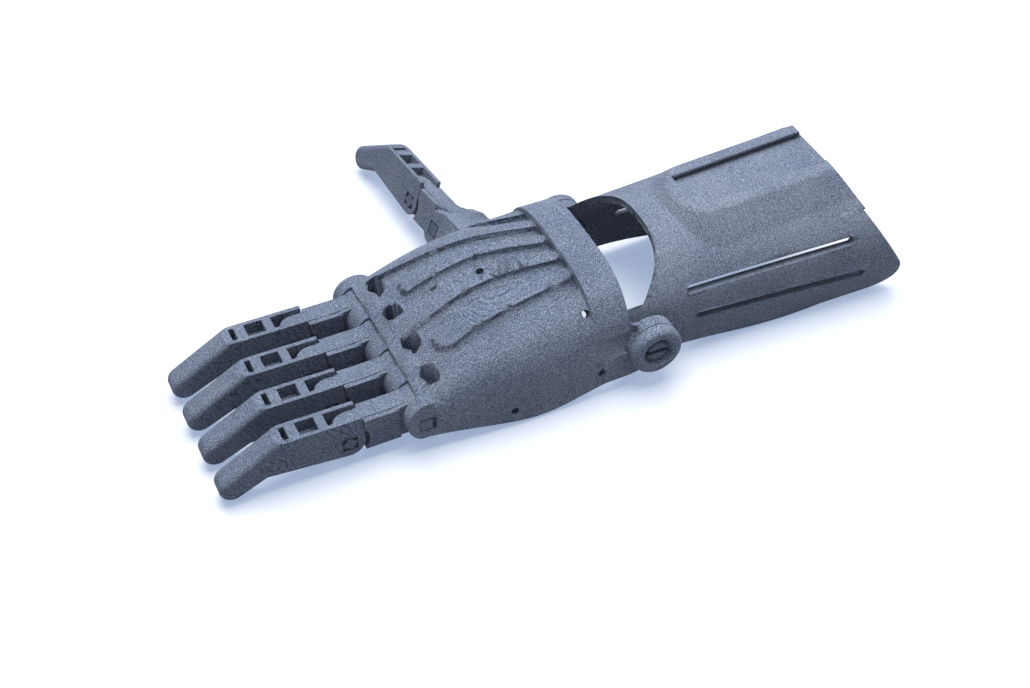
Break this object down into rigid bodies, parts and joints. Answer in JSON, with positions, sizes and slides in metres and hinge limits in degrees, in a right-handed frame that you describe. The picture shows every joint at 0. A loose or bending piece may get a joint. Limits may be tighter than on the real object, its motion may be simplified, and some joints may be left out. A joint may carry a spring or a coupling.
{
  "type": "prosthetic hand",
  "caption": "Wrist-driven open hand prosthesis for the left side: hinged fingers and thumb on a shell palm, with a hinged forearm cuff that carries a dovetail rail.",
  "frame": {"origin": "middle of the bounding box's underside, with the hand lying palm down", "axes": "+X from the fingers towards the elbow, +Y towards the thumb, +Z from the palm towards the back of the hand"},
  "size_m": [0.2452, 0.1518, 0.0463],
  "materials": {
    "shell": "matte, fine sandy grain",
    "finger": "matte, fine sandy grain",
    "pin": "matte, fine sandy grain",
    "cap": "matte, fine sandy grain"
  },
  "bodies": {
    "palm": {"palm": "shell", "knuckle_pin_thumb_side": "pin", "knuckle_pin_little_side": "pin", "thumb_knuckle_pin": "pin", "wrist_pin_thumb_side": "pin", "wrist_pin_little_side": "pin", "wrist_cap_thumb_side": "cap", "wrist_cap_little_side": "cap"},
    "gauntlet": {"gauntlet": "shell"},
    "index_proximal": {"index_proximal": "finger"},
    "index_tip": {"index_tip": "finger", "index_tip_pin": "pin"},
    "middle_proximal": {"middle_proximal": "finger"},
    "middle_tip": {"middle_tip": "finger", "middle_tip_pin": "pin"},
    "ring_proximal": {"ring_proximal": "finger"},
    "ring_tip": {"ring_tip": "finger", "ring_tip_pin": "pin"},
    "little_proximal": {"little_proximal": "finger"},
    "little_tip": {"little_tip": "finger", "little_tip_pin": "pin"},
    "thumb_proximal": {"thumb_proximal": "finger"},
    "thumb_tip": {"thumb_tip": "finger", "thumb_tip_pin": "pin"}
  },
  "joints": [
    {"name": "wrist_flexion", "type": "hinge", "parent": "palm", "child": "gauntlet", "pos_m": [0.02422, -0.03656, 0.01539], "axis": [0, 1, 0], "range_deg": [-25, 35]},
    {"name": "index_knuckle", "type": "hinge", "parent": "palm", "child": "index_proximal", "pos_m": [-0.05558, -0.01241, 0.01219], "axis": [0, -1, 0], "range_deg": [0, 85]},
    {"name": "index_middle_joint", "type": "hinge", "parent": "index_proximal", "child": "index_tip", "pos_m": [-0.07958, -0.01241, 0.00999], "axis": [0, -1, 0], "range_deg": [0, 80]},
    {"name": "middle_knuckle", "type": "hinge", "parent": "palm", "child": "middle_proximal", "pos_m": [-0.05558, -0.02851, 0.01219], "axis": [0, -1, 0], "range_deg": [0, 85]},
    {"name": "middle_middle_joint", "type": "hinge", "parent": "middle_proximal", "child": "middle_tip", "pos_m": [-0.07958, -0.02851, 0.00999], "axis": [0, -1, 0], "range_deg": [0, 80]},
    {"name": "ring_knuckle", "type": "hinge", "parent": "palm", "child": "ring_proximal", "pos_m": [-0.05558, -0.04461, 0.01219], "axis": [0, -1, 0], "range_deg": [0, 85]},
    {"name": "ring_middle_joint", "type": "hinge", "parent": "ring_proximal", "child": "ring_tip", "pos_m": [-0.07958, -0.04461, 0.00999], "axis": [0, -1, 0], "range_deg": [0, 80]},
    {"name": "little_knuckle", "type": "hinge", "parent": "palm", "child": "little_proximal", "pos_m": [-0.05558, -0.06071, 0.01219], "axis": [0, -1, 0], "range_deg": [0, 85]},
    {"name": "little_middle_joint", "type": "hinge", "parent": "little_proximal", "child": "little_tip", "pos_m": [-0.07958, -0.06071, 0.00999], "axis": [0, -1, 0], "range_deg": [0, 80]},
    {"name": "thumb_knuckle", "type": "hinge", "parent": "palm", "child": "thumb_proximal", "pos_m": [-0.01168, 0.00964, 0.01589], "axis": [-0.9385, -0.062, 0.3398], "range_deg": [0, 60]},
    {"name": "thumb_middle_joint", "type": "hinge", "parent": "thumb_proximal", "child": "thumb_tip", "pos_m": [-0.01456, 0.03329, 0.01226], "axis": [-0.9385, -0.062, 0.3398], "range_deg": [0, 50]}
  ]
}
